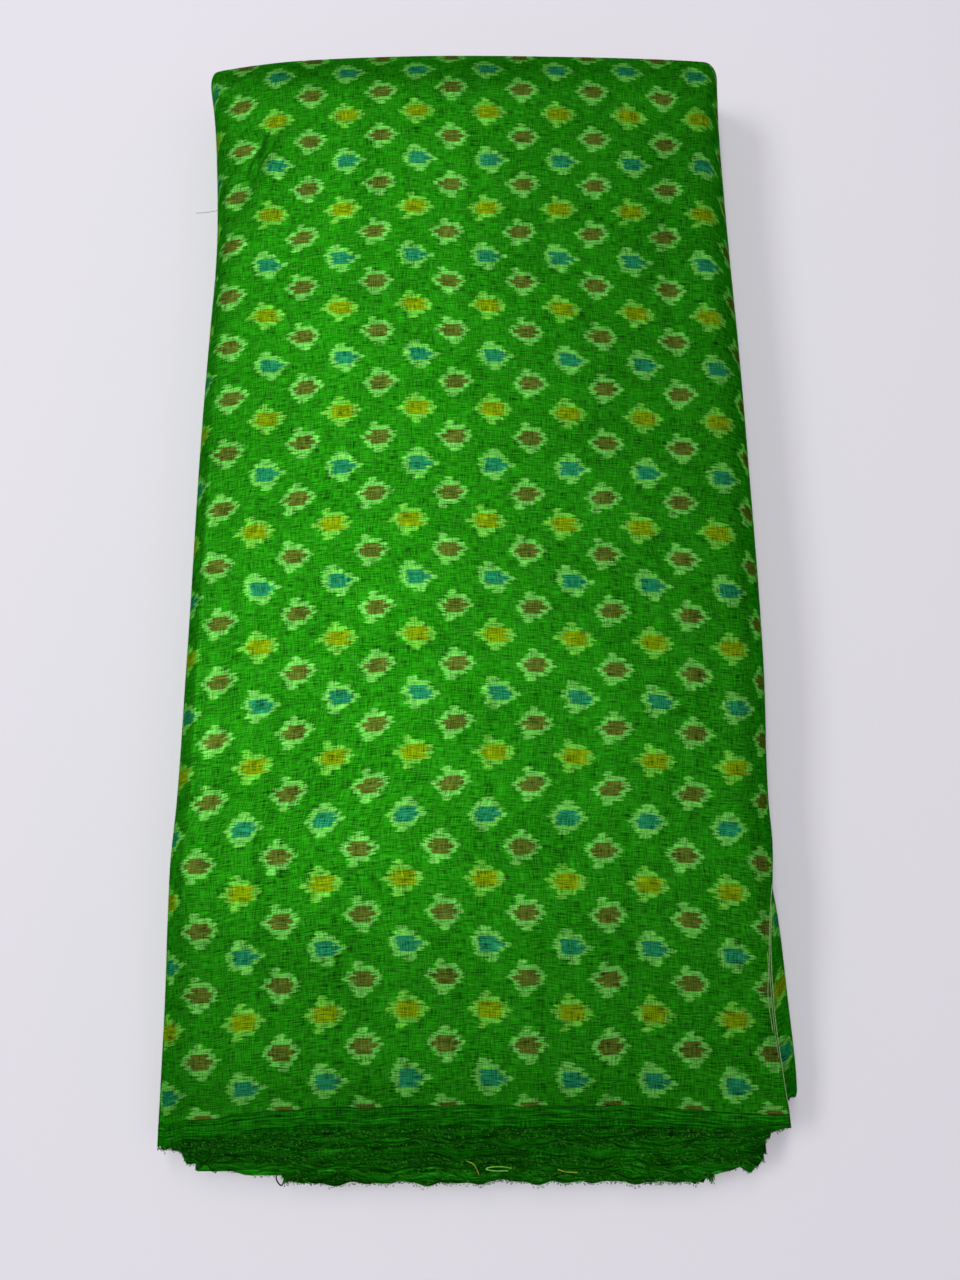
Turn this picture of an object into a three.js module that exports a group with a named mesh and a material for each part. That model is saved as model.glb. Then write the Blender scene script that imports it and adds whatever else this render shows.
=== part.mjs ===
import * as THREE from "three";

// Bolt of handloom silk cloth, doubled lengthwise with its selvedges together, then wound flat.
// Millimetres. X runs across the bolt, Y from the selvedges to the doubled end, and Z up.
// Every turn is two sheets of cloth, one above the other, joined by the fold at the doubled end.

// Driving dimensions
const CLOTH_WIDTH = 1092;
const STACK_HEIGHT = 50;
const TURNS = 4;
const SHEET = 2.4;
const SHEET_GAP = 0.65;
const TURN_GAP = 0.8;

// Shape of the wound stack
const HALF_WIDTH = 137;
const CROWN_DROP = 0.06;
const BOW_LEFT = 11;
const BOW_RIGHT = 6;
const BOW_POWER = 3;
const BOWED_TURNS = 2;
const TAIL_LIFT = 3.5;
const DROOP_SLACK = 3;
const FLAT_SLACK = 1;
const UPPER_SHOULDER = 34;
const UPPER_SHOULDER_STEP = 7;
const LOWER_SHOULDER = 24;
const LOWER_SHOULDER_STEP = 5.7;

// Steps of the surface
const ARC_STEPS = 8;
const TAIL_STEPS = 6;
const ACROSS_STEPS = 2;
const FOLD_STEPS = 4;
const END_STEPS = 4;
const FAR_STEPS = 4;
const SHARED_Y = [8, 51, 90, 117, 143, 240, 370, 500];

const CLOTH_GREEN = 0x2f8a1a;
const CLOTH_ROUGHNESS = 0.62;

// Outline of the stack, a row for each place along it. y is measured from the selvedge of the top sheet.
// left and right are how far the turns reach at the height called middle, and cut is the angle above
// the middle at which the cloth's outer cut end lies on the right-hand side.
const OUTLINE = [
  { y: -40, height: 21, middle: 11.5, left: -144, right: 157, cut: 50 },
  { y: -22, height: 21.5, middle: 11.5, left: -144, right: 157, cut: 50 },
  { y: 0, height: 24.5, middle: 12.5, left: -143.5, right: 156.5, cut: 50 },
  { y: 21, height: 30, middle: 14.5, left: -142, right: 156, cut: 54 },
  { y: 51, height: 35, middle: 16.5, left: -141, right: 153, cut: 58 },
  { y: 90, height: 41.5, middle: 18.5, left: -140.5, right: 149.5, cut: 53 },
  { y: 117, height: 44.5, middle: 19.5, left: -140, right: 145.5, cut: 37 },
  { y: 143, height: 46.5, middle: 20, left: -140, right: 141.5, cut: 12 },
  { y: 213, height: 49.5, middle: 21, left: -139, right: 142, cut: 0 },
  { y: 328, height: 50, middle: 21, left: -138.5, right: 140, cut: -12 },
  { y: 425, height: 50, middle: 21, left: -135, right: 136, cut: -15 },
  { y: 470, height: 50, middle: 21, left: -136, right: 134.5, cut: -15 },
  { y: 508, height: 49.8, middle: 21, left: -139, right: 133, cut: -15 },
  { y: 522, height: 48.6, middle: 20.5, left: -141, right: 133, cut: -15 },
  { y: 535, height: 44.2, middle: 19.5, left: -143, right: 134, cut: -15 },
  { y: 543, height: 38.6, middle: 18.5, left: -144, right: 135, cut: -15 },
  { y: 556, height: 31, middle: 17.5, left: -144, right: 135, cut: -15 },
];

// How far inside the outline each turn lies on either side, at the selvedges and at the doubled end.
// reach is how far its selvedges stand out past those of the outer turn.
const TURN_PLACES = [
  { turn: "outer turn", left: 0, right: 0, farLeft: 0, farRight: 0, reach: 0 },
  { turn: "second turn", left: 7, right: 7, farLeft: 7, farRight: 7, reach: 2 },
  { turn: "third turn", left: 16, right: 18, farLeft: 14, farRight: 15, reach: 18 },
  { turn: "core turn", left: 57, right: 40, farLeft: 30, farRight: 28, reach: 27 },
];

const HALF_HEIGHT = STACK_HEIGHT / 2;
const HALF_CLOTH = CLOTH_WIDTH / 2;
const PAIR = 2 * SHEET + SHEET_GAP;
const PITCH = PAIR + TURN_GAP;
const OUTLINE_COLUMNS = ["height", "middle", "left", "right", "cut"];
const RIGHT_ANGLE = Math.PI / 2;
const { lerp, clamp, degToRad } = THREE.MathUtils;

const outline = new THREE.CubicInterpolant(
  OUTLINE.map((row) => row.y),
  OUTLINE.flatMap((row) => OUTLINE_COLUMNS.map((column) => row[column])),
  OUTLINE_COLUMNS.length,
);

// One column of the outline at a place along the stack, on a smooth curve through its rows.
function outlineAt(column, y) {
  return outline.evaluate(y)[OUTLINE_COLUMNS.indexOf(column)];
}

// Share of its full height above the middle that the stack has at x, because it stands highest there.
function crown(x) {
  return 1 - CROWN_DROP * (x / HALF_WIDTH) ** 2;
}

// How far the cloth at x lies nearer the selvedge end than it does in the middle of the bolt. The inner
// turns lie straight, and so does the underside on the right-hand side.
function bow(x, station) {
  const outward = clamp(1 - (station.turn + station.passed) / BOWED_TURNS, 0, 1);
  const share = outward * Math.abs(x / HALF_WIDTH) ** BOW_POWER;
  return x < 0 ? BOW_LEFT * share : BOW_RIGHT * share * (1 - lownessOf(station));
}

// One column of the turns' places for a station of the section, part of the way to its next turn.
function turnPlace(column, { turn, passed }) {
  const row = (index) => TURN_PLACES[clamp(index, 0, TURNS - 1)];
  return lerp(row(turn)[column], row(turn + 1)[column], passed);
}

// How far inside the outline a station lies on one side, at a place along the stack.
function inset(side, station, y) {
  const along = clamp(y / HALF_CLOTH, 0, 1);
  const [near, far] = side < 0 ? ["left", "farLeft"] : ["right", "farRight"];
  return lerp(turnPlace(near, station), turnPlace(far, station), along);
}

// Widths of the rounded shoulders of a turn, above and below the middle.
function upperShoulder(turn) {
  return UPPER_SHOULDER - UPPER_SHOULDER_STEP * turn;
}

function lowerShoulder(turn) {
  return LOWER_SHOULDER - LOWER_SHOULDER_STEP * turn;
}

// The wound section, from the outer cut end inwards. Flat stations are a share of the way across, at
// level 1 on top or -1 below. Those on a rounded side have an angle from the level of the middle.
// passed is how far round the right-hand side a turn is on its way into the next one.
function woundSection() {
  const section = [];
  const flat = (turn, level, across) => section.push({ turn, passed: 0, level, across });
  const roundLeft = (turn, angle) => section.push({ side: -1, turn, passed: 0, angle });
  const roundRight = (turn, passed) => section.push({ side: 1, turn, passed, angle: angleRound(passed) });
  for (let step = 0; step < TAIL_STEPS; step++) {
    section.push({ side: 1, turn: -1, passed: 1, tail: step / TAIL_STEPS });
  }
  for (let turn = 0; turn < TURNS; turn++) {
    for (let step = 0; step < ACROSS_STEPS; step++) flat(turn, 1, step / ACROSS_STEPS);
    for (let step = 0; step < ARC_STEPS; step++) roundLeft(turn, -angleRound(step / ARC_STEPS));
    for (let step = 0; step < ACROSS_STEPS; step++) flat(turn, -1, step / ACROSS_STEPS);
    if (turn === TURNS - 1) break;
    for (let step = 0; step < ARC_STEPS; step++) roundRight(turn, step / ARC_STEPS);
  }
  flat(TURNS - 1, -1, 1);
  return section;
}

// Angle from the level of the middle at a share of the way round a side, from its bottom to its top.
function angleRound(share) {
  return (share - 0.5) * Math.PI;
}

// Angle of a station on a rounded side. The cut end's depends on the place along the stack.
function angleOf(station, y) {
  if (station.tail === undefined) return station.angle;
  return lerp(degToRad(outlineAt("cut", y)), RIGHT_ANGLE, station.tail);
}

// How far down a station lies, from 0 at the top of its turn to 1 at the bottom.
function lownessOf(station) {
  if (station.tail !== undefined) return 0;
  return station.side ? (1 - Math.sin(station.angle)) / 2 : (1 - station.level) / 2;
}

// Places along the cloth's width: the upper sheet of a turn from its selvedge to the doubled end, the
// fold, and the lower sheet back. depths are those of the sheet's two faces below the turn's outer face.
function placesAlong() {
  const sheet = [];
  for (let step = 0; step < END_STEPS; step++) sheet.push({ near: 1 - step / END_STEPS, y: SHARED_Y[0] });
  for (const y of SHARED_Y) sheet.push({ near: 0, y });
  for (let step = 1; step <= FAR_STEPS; step++) sheet.push({ far: step / FAR_STEPS, y: SHARED_Y.at(-1) });
  const upper = sheet.map((place) => ({ ...place, depths: [0, SHEET], turned: [0, 0] }));
  const lower = sheet.map((place) => ({ ...place, depths: [PAIR, PAIR - SHEET], turned: [0, 0] })).reverse();
  const fold = [];
  for (let step = 1; step < FOLD_STEPS; step++) {
    const angle = (step / FOLD_STEPS) * Math.PI;
    const arms = [PAIR / 2, SHEET_GAP / 2];
    fold.push({
      far: 1,
      y: SHARED_Y.at(-1),
      depths: arms.map((arm) => PAIR / 2 - arm * Math.cos(angle)),
      turned: arms.map((arm) => arm * Math.sin(angle)),
    });
  }
  return [...upper, ...fold, ...lower];
}

// Place along the stack of one point, from the shared places or from the ends of its own turn. The turns
// near the core reach further out at the selvedges, and lie as much further in at the doubled end.
function alongY(station, place) {
  const near = -turnPlace("reach", station);
  if (place.near) return lerp(place.y, near, place.near);
  if (!place.far) return place.y;
  const depth = ((station.turn + station.passed) * PITCH) / HALF_HEIGHT;
  const upperLength = HALF_CLOTH - DROOP_SLACK * (1 - depth);
  const far = near + lerp(upperLength, HALF_CLOTH - FLAT_SLACK, lownessOf(station));
  return lerp(place.y, far - PAIR / 2, place.far);
}

// X and height above or below the middle of one point of the section, at a depth below its outer face.
function sectionPoint(station, y, depth) {
  const { side, turn, level, across } = station;
  if (side) {
    const isTail = station.tail !== undefined;
    const angle = angleOf(station, y);
    const passed = isTail ? angle / Math.PI + 0.5 : station.passed;
    const lift = isTail ? TAIL_LIFT : 0;
    const upper = upperShoulder(side < 0 ? turn : turn + 1);
    const shoulder = (angle > 0 ? upper : lowerShoulder(turn)) + lift - depth;
    const edge = outlineAt(side < 0 ? "left" : "right", y) - side * inset(side, station, y);
    const x = edge + side * (lift - depth - shoulder * (1 - Math.cos(angle)));
    const radius = HALF_HEIGHT - (turn + passed) * PITCH;
    return { x, rise: (radius - depth) * Math.sin(angle) };
  }
  const shoulder = level > 0 ? upperShoulder(turn) : lowerShoulder(turn);
  const leftX = outlineAt("left", y) + inset(-1, station, y) + shoulder;
  const rightX = outlineAt("right", y) - inset(1, station, y) - shoulder;
  const x = level > 0 ? lerp(rightX, leftX, across) : lerp(leftX, rightX, across);
  return { x, rise: level * (HALF_HEIGHT - turn * PITCH - depth) };
}

// One point of the cloth, on face 0 or 1 of the sheet.
function clothPoint(station, place, face) {
  const depth = place.depths[face];
  const straightY = alongY(station, place);
  const y = straightY - bow(sectionPoint(station, straightY, depth).x, station);
  const { x, rise } = sectionPoint(station, y, depth);
  const middle = outlineAt("middle", y);
  const above = (outlineAt("height", y) - middle) * crown(x);
  const z = middle + (rise / HALF_HEIGHT) * (rise > 0 ? above : middle);
  return [x, y + place.turned[face], z];
}

// The cloth as one closed sheet: both faces, its two cut ends and its two selvedges. The corners of each
// quad are given clockwise as seen from outside the cloth, and its first and third are joined. Past the
// fold the other two are, so that sheets which face each other bend along the same lines.
function woundCloth() {
  const section = woundSection();
  const places = placesAlong();
  const rows = section.length;
  const columns = places.length;
  const positions = [];
  for (const face of [0, 1]) {
    for (const station of section) {
      for (const place of places) positions.push(...clothPoint(station, place, face));
    }
  }
  const vertex = (face, row, column) => (face * rows + row) * columns + column;
  const indices = [];
  const quad = (a, b, c, d) => indices.push(a, c, b, a, d, c);
  const lastRow = rows - 1;
  const lastColumn = columns - 1;
  for (let row = 0; row < lastRow; row++) {
    const next = row + 1;
    for (let column = 0; column < lastColumn; column++) {
      const beside = column + 1;
      const corners = [[row, column], [next, column], [next, beside], [row, beside]];
      if (column >= lastColumn / 2) corners.push(corners.shift());
      const [a, b, c, d] = corners;
      quad(...[a, b, c, d].map((corner) => vertex(0, ...corner)));
      quad(...[a, d, c, b].map((corner) => vertex(1, ...corner)));
    }
    quad(vertex(0, next, 0), vertex(0, row, 0), vertex(1, row, 0), vertex(1, next, 0));
    quad(
      vertex(0, row, lastColumn),
      vertex(0, next, lastColumn),
      vertex(1, next, lastColumn),
      vertex(1, row, lastColumn),
    );
  }
  for (let column = 0; column < lastColumn; column++) {
    const beside = column + 1;
    quad(vertex(0, 0, column), vertex(0, 0, beside), vertex(1, 0, beside), vertex(1, 0, column));
    quad(
      vertex(0, lastRow, beside),
      vertex(0, lastRow, column),
      vertex(1, lastRow, column),
      vertex(1, lastRow, beside),
    );
  }
  const geometry = new THREE.BufferGeometry();
  geometry.setAttribute("position", new THREE.Float32BufferAttribute(positions, 3));
  geometry.setIndex(indices);
  return geometry;
}

// Moves a geometry so that the middle of its box lies over the origin, with its lowest point at zero.
function standOnOrigin(geometry) {
  geometry.computeBoundingBox();
  const { min, max } = geometry.boundingBox;
  return geometry.translate(-(min.x + max.x) / 2, -(min.y + max.y) / 2, -min.z);
}

const bolt = new THREE.Group();
const cloth = new THREE.Mesh(
  standOnOrigin(woundCloth()),
  new THREE.MeshStandardMaterial({ color: CLOTH_GREEN, roughness: CLOTH_ROUGHNESS, metalness: 0 }),
);
cloth.name = "wound_cloth";
bolt.add(cloth);

export default bolt;
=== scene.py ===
"""Bolt of handloom ikat silk, doubled lengthwise with its selvedges together and wound flat.

Lengths in the tables and fields are millimetres in the bolt's own frame: x across the bolt, y from the
selvedge of the top sheet to the doubled end, z up from the table. Meshes are made in metres.
"""

import logging
from collections.abc import Callable
from dataclasses import dataclass, field
from enum import Enum
from functools import cached_property

import bpy
import numpy as np
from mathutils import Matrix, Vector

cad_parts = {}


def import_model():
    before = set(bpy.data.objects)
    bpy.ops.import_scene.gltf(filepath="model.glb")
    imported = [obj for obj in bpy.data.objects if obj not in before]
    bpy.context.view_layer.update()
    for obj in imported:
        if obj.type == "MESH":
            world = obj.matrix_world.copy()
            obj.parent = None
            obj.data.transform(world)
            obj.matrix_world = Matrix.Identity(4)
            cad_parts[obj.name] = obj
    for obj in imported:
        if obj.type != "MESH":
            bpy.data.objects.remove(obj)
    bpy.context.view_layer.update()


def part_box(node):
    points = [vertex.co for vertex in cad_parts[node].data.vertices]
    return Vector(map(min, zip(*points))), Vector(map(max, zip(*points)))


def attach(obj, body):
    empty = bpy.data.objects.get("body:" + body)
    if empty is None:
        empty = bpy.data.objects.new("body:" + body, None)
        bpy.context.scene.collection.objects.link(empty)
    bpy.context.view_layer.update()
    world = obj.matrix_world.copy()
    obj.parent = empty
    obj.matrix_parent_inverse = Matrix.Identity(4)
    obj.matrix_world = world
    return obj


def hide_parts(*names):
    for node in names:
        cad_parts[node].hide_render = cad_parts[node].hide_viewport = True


LOG = logging.getLogger("bolt")
MM = 0.001
BODY = "root"
NODE = "wound_cloth"
CLOTH_WIDTH = 1092.0
HALF_CLOTH = CLOTH_WIDTH / 2
HALF_HEIGHT = 25.0
LEFT_LIMIT = -144.0
FAR_LIMIT = 545.0
TURNS = 17
UV_NAME = "cloth"
TINY = 1e-9
NEAR_UPRIGHT = (0.13, 0.21, 1.0)
TIP_SHARE = 0.05
Socket = bpy.types.NodeSocket


def srgb(red: float, green: float, blue: float) -> tuple[float, float, float, float]:
    """Turn an sRGB colour of 0 to 255 into linear light with full alpha."""
    parts = np.array([red, green, blue]) / 255
    linear = np.where(parts <= 0.04045, parts / 12.92, ((parts + 0.055) / 1.055) ** 2.4)
    return (float(linear[0]), float(linear[1]), float(linear[2]), 1.0)


class ThreadDye(Enum):
    """Dyes of the loose threads."""

    GREEN = srgb(72, 178, 44)
    PALE = srgb(150, 196, 118)
    LIGHT = srgb(132, 218, 84)
    RUST = srgb(92, 34, 18)
    YELLOW = srgb(168, 184, 60)
    DARK = srgb(10, 48, 8)


def lerp(start: np.ndarray, end: np.ndarray, share: np.ndarray) -> np.ndarray:
    """Value a share of the way from start to end."""
    return start + (end - start) * share


def smooth(share: np.ndarray) -> np.ndarray:
    """Smooth step from 0 to 1: three times the share squared less twice its cube."""
    held = np.clip(share, 0.0, 1.0)
    return held * held * (3 - 2 * held)


@dataclass
class Table:
    """Columns of values against one rising key, read on a smooth curve through the rows."""

    columns: tuple[str | float, ...]
    rows: tuple[tuple[float, ...], ...]

    def read(self, column: str | float, key: np.ndarray) -> np.ndarray:
        """Hermite cubic between rows, with the mean of the two neighbouring slopes at each row.

        The mean is held to three times the gentler of the two, so that a steep step doesn't swing past
        the rows beside it.

        Args:
            column: the column's name; the first column is the key.
            key: where to read.

        Returns:
            The column's values there, held level beyond the first and last rows.
        """
        data = np.array(self.rows)
        keys, values = data[:, 0], data[:, self.columns.index(column)]
        slopes = np.diff(values) / np.diff(keys)
        gentle = 3 * np.minimum(np.abs(slopes[:-1]), np.abs(slopes[1:]))
        mean = np.clip((slopes[:-1] + slopes[1:]) / 2, -gentle, gentle)
        tangents = np.concatenate([slopes[:1], mean, slopes[-1:]])
        held = np.clip(key, keys[0], keys[-1])
        low = np.clip(np.searchsorted(keys, held, side="right") - 1, 0, len(keys) - 2)
        span = keys[low + 1] - keys[low]
        t = (held - keys[low]) / span
        rising = t * t * (3 - 2 * t)
        leave = t * (1 - t) ** 2 * span * tangents[low]
        arrive = t * t * (1 - t) * span * tangents[low + 1]
        return values[low] * (1 - rising) + values[low + 1] * rising + leave - arrive


# Height and reach of the stack along it, the angle above the middle of the outer cut end, and how far in
# from each side the top begins to round.
OUTLINE = Table(
    ("y", "height", "middle", "left", "right", "cut", "round_left", "round_right"),
    (
        (-40, 21.0, 11.5, -142.2, 157.0, 45, 18, 32),
        (-22, 21.5, 11.5, -142.2, 157.0, 45, 18, 32),
        (0, 24.5, 12.5, -142.0, 156.0, 46, 18, 32),
        (21, 30.0, 14.5, -141.2, 155.5, 53, 17, 31),
        (51, 35.0, 16.5, -140.5, 153.0, 60, 16, 29),
        (90, 41.5, 18.5, -140.3, 149.5, 56, 15, 26),
        (117, 44.5, 19.5, -140.0, 145.5, 37, 14, 24),
        (143, 46.5, 20.0, -138.4, 142.9, 12, 14, 22),
        (213, 49.5, 21.0, -136.8, 143.6, 0, 13, 20),
        (328, 50.0, 21.0, -136.0, 141.2, -12, 13, 18),
        (380, 50.0, 21.0, -134.6, 139.6, -14, 12, 17),
        (425, 50.0, 21.0, -133.4, 137.6, -15, 12, 16),
        (470, 50.0, 21.0, -135.2, 136.0, -15, 11, 15),
        (508, 49.8, 21.0, -138.4, 135.0, -15, 9, 12),
        (522, 48.6, 20.5, -140.6, 135.2, -15, 8, 10),
        (535, 44.2, 19.5, -143.0, 136.2, -15, 8, 10),
        (543, 38.6, 18.5, -144.0, 137.0, -15, 8, 10),
        (556, 31.0, 17.5, -144.0, 137.0, -15, 8, 10),
    ),
)

# How far inside the outline the turns lie, and how far their selvedges stand out, by share of the winding.
TURN_PLACES = Table(
    ("share", "left", "right", "far_left", "far_right", "reach"),
    (
        (0.00, 0.0, 0.0, 0.0, 0.0, 0.0),
        (0.10, 2.5, 10.0, 3.0, 4.0, 1.8),
        (0.25, 6.0, 18.0, 6.0, 6.0, 7.0),
        (0.35, 11.0, 19.5, 10.0, 10.0, 13.0),
        (0.58, 14.5, 25.0, 15.0, 15.0, 18.5),
        (0.63, 56.0, 42.0, 26.0, 24.0, 20.6),
        (1.00, 59.0, 45.0, 36.0, 34.0, 24.8),
    ),
)

# How far the dyed rows have drifted along and across the cloth, by distance from the selvedge.
ROW_DRIFT = Table(
    ("weft", "along", "across"),
    (
        (0, 0.4, 2.8),
        (9, 0.4, 2.9),
        (16, 0.3, 3.6),
        (25, 0.1, 2.3),
        (39, 1.0, 1.0),
        (53, 0.0, 0.0),
        (67, 0.9, -0.9),
        (81, 0.4, -1.1),
        (95, 2.0, -1.4),
        (109, 1.6, -1.9),
        (123, 3.3, -2.5),
        (137, 2.4, -2.6),
        (151, -0.9, -2.7),
        (165, -2.2, -2.7),
        (179, -2.8, -2.6),
        (193, -4.2, -2.1),
        (207, -3.4, -1.8),
        (221, -3.4, -1.7),
        (235, -2.7, -1.6),
        (249, -2.2, -1.2),
        (263, -0.1, -1.1),
        (277, 0.9, -1.2),
        (291, 0.0, -1.4),
        (305, -2.1, -1.6),
        (319, -1.8, -1.9),
        (333, -1.8, -2.2),
        (347, -2.0, -2.4),
        (361, -2.3, -2.5),
        (375, -0.9, -2.0),
        (389, -0.1, -1.8),
        (403, 1.4, -1.4),
        (417, 1.4, -1.5),
        (431, 2.0, -1.5),
        (445, 0.8, -1.1),
        (459, 0.1, -1.0),
        (487, -0.1, -0.7),
        (515, 0.8, -0.6),
        (529, 1.2, -0.6),
        (546, 1.0, 0.0),
    ),
)

# How far the threads wander across the cloth, by distance along it from the middle of the top.
THREAD_WANDER = Table(
    ("warp", "across"),
    (
        (-150, 1.0),
        (-118, 1.5),
        (-100, 1.9),
        (-82, 1.4),
        (-63, 0.2),
        (-45, -1.2),
        (-26, -1.6),
        (-8, -0.9),
        (29, 0.3),
        (47, 1.1),
        (66, 1.4),
        (84, 0.3),
        (103, -0.9),
        (121, -1.2),
        (150, 0.0),
    ),
)

# Places along the cloth where the rows bend, and how far each row bends across it at those places.
BEND_PLACES = (-118.0, -100.0, -82.0, -45.0, -8.0, 29.0, 66.0, 84.0, 103.0, 121.0, 140.0)
ROW_BEND = Table(
    ("weft", *BEND_PLACES),
    (
        (0, -0.6, -0.6, -0.8, -0.9, -1.1, -1.2, -1.2, -0.6, 0.8, 2.0, 3.0),
        (11, -0.6, -0.6, -0.8, -0.9, -1.1, -1.2, -1.2, -0.6, 0.8, 2.0, 3.0),
        (25, -0.3, -0.3, -0.0, 0.5, -0.2, -0.5, -0.8, 0.3, 2.1, 3.1, 3.3),
        (53, -0.1, -0.5, 0.1, 1.1, 0.6, -0.1, -0.5, 0.7, 3.0, 4.2, 3.9),
        (109, -0.8, -0.2, -0.0, 0.8, 0.7, -0.3, -0.2, 1.2, 3.4, 4.8, 5.3),
        (165, -1.5, -0.5, 0.0, 1.2, 0.9, -0.2, 0.8, 2.1, 3.7, 5.0, 4.1),
        (221, -2.2, -1.7, -0.9, 1.2, 1.2, 0.5, 1.0, 2.3, 3.5, 4.3, 3.1),
        (277, -3.6, -2.7, -2.0, 0.9, 1.6, 1.0, 0.8, 2.2, 3.5, 3.3, 3.1),
        (333, -3.8, -3.4, -2.3, 0.9, 1.6, 1.2, 1.9, 2.9, 4.2, 2.9, 2.8),
        (389, -5.2, -3.9, -3.1, 0.8, 2.2, 1.6, 1.7, 2.7, 3.6, 2.1, 2.6),
        (445, -6.7, -4.9, -2.7, 1.0, 3.9, 2.4, 0.3, 1.1, 1.0, -0.2, 2.5),
        (487, -5.6, -6.1, -2.4, 1.3, 3.7, 2.6, 0.7, 0.8, 3.2, -1.8, 1.2),
        (515, -2.9, -4.1, -1.1, 3.1, 1.7, 2.3, 1.2, -0.2, 3.2, -1.9, 0.7),
        (546, -2.6, -2.6, 0.4, 3.2, 2.3, 2.1, 1.0, -1.1, 0.4, -1.4, 1.0),
    ),
)


@dataclass
class Stations:
    """Places round the wound section, one entry of each array for each place."""

    turn: np.ndarray
    passed: np.ndarray
    side: np.ndarray
    angle: np.ndarray
    level: np.ndarray
    across: np.ndarray
    tail: np.ndarray

    @property
    def lowness(self) -> np.ndarray:
        """How far down a place lies, from 0 at the top of its turn to 1 at the bottom."""
        rounded = (1 - np.sin(self.angle)) / 2
        flat = (1 - self.level) / 2
        return np.where(self.tail >= 0, 0.0, np.where(self.side != 0, rounded, flat))

    @staticmethod
    def stretch(count: int, turn: float, **arrays: np.ndarray) -> "Stations":
        """One stretch of places on the same turn, with every array not named filled with zeros."""
        blank = {name: np.zeros(count) for name in ("passed", "side", "angle", "level", "across")}
        blank["tail"] = np.full(count, -1.0)
        blank.update({name: np.broadcast_to(value, count).astype(float) for name, value in arrays.items()})
        return Stations(turn=np.full(count, float(turn)), **blank)

    @staticmethod
    def joined(stretches: list["Stations"]) -> "Stations":
        """All the stretches as one run of places."""
        names = vars(stretches[0])
        return Stations(**{name: np.concatenate([getattr(s, name) for s in stretches]) for name in names})


@dataclass
class WindingSteps:
    """Steps of the mesh round one turn of the winding.

    A fine stretch of the top can be asked for, as shares of the way across it and a number of steps.
    """

    top: int
    round_side: int
    bottom: int
    tail: int = 14
    creased: tuple[float, float, int] | None = None

    def tail_stretch(self) -> Stations:
        """The outermost stretch, from the cut end up to the top."""
        share = np.arange(self.tail) / self.tail
        return Stations.stretch(self.tail, -1, passed=1.0, side=1.0, tail=share)

    def turn_stretches(self, turn: int, start: float = 0.0, closes: bool = True) -> list[Stations]:
        """One whole turn: over the top, round the left, under the bottom and round the right.

        Args:
            turn: the turn's number, from 0 outside.
            start: share of the way across the top where the stretch begins.
            closes: whether the turn goes on round the right into the next one.

        Returns:
            The turn's stretches in order.
        """
        top = lerp(start, 1.0, np.arange(self.top) / self.top)
        if self.creased:
            low, high, fine = self.creased
            top = np.sort(np.concatenate([top[(top < low) | (top > high)], np.linspace(low, high, fine)]))
        share = np.arange(self.round_side) / self.round_side
        bottom = np.arange(self.bottom) / self.bottom
        made = [
            Stations.stretch(len(top), turn, level=1.0, across=top),
            Stations.stretch(self.round_side, turn, side=-1.0, angle=(0.5 - share) * np.pi),
            Stations.stretch(self.bottom, turn, level=-1.0, across=bottom),
        ]
        if closes:
            made.append(
                Stations.stretch(self.round_side, turn, passed=share, side=1.0, angle=(share - 0.5) * np.pi)
            )
        return made


@dataclass
class Crease:
    """A soft trough or ridge of the top, from one place to another."""

    start: tuple[float, float]
    end: tuple[float, float]
    depth: float
    width: float


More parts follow.
